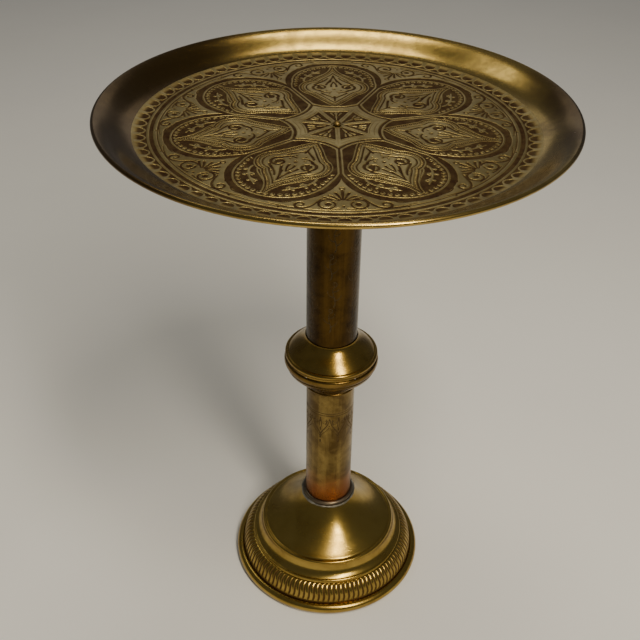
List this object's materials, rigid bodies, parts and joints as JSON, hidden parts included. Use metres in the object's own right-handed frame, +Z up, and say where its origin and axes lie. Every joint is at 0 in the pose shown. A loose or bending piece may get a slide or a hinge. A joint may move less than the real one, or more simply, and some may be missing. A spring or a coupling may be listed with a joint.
{
  "type": "pedestal tray table",
  "caption": "Round engraved brass tray with a flared rim, turning on a tube column with a knop at its middle and a domed weighted foot.",
  "frame": {"origin": "centre of the foot's underside, on the floor", "axes": "+Z up along the column, which is the tray's turning axis; X and Y across the tray"},
  "size_m": [0.4058, 0.4058, 0.5469],
  "materials": {
    "tray_brass": "engraved, aged, dark cut ground with rubbed high lines",
    "column_brass": "drawn tube, brown patina, lightly engraved",
    "spun_brass": "spun and polished, aged",
    "turned_brass": "turned, dull",
    "solder": "soft solder, grey, dull",
    "wire_iron": "drawn iron wire",
    "plain_steel": "plain mild steel",
    "cast_iron": "rough cast",
    "felt": "dense wool felt"
  },
  "bodies": {
    "pedestal": {"tray_screw": "turned_brass", "tray_screw_washer": "turned_brass", "tray_spin_washer": "felt", "tray_seat": "turned_brass", "top_plug": "turned_brass", "upper_tube": "column_brass", "coupling_socket": "turned_brass", "coupling_spigot": "turned_brass", "knop_upper_shell": "spun_brass", "knop_lower_shell": "spun_brass", "lower_tube": "column_brass", "collar_ring": "turned_brass", "solder_bead": "solder", "base_dome": "spun_brass", "base_felt": "felt", "base_plate": "plain_steel", "base_weight": "cast_iron", "foot_plug": "turned_brass", "base_stud": "plain_steel", "stud_washer": "plain_steel", "stud_nut": "plain_steel"},
    "tray_top": {"tray": "tray_brass", "tray_edge_wire": "wire_iron"}
  },
  "joints": [
    {"name": "tray_turn", "type": "hinge", "parent": "pedestal", "child": "tray_top", "pos_m": [0, 0, 0.5288], "axis": [0, 0, 1], "continuous": true}
  ]
}
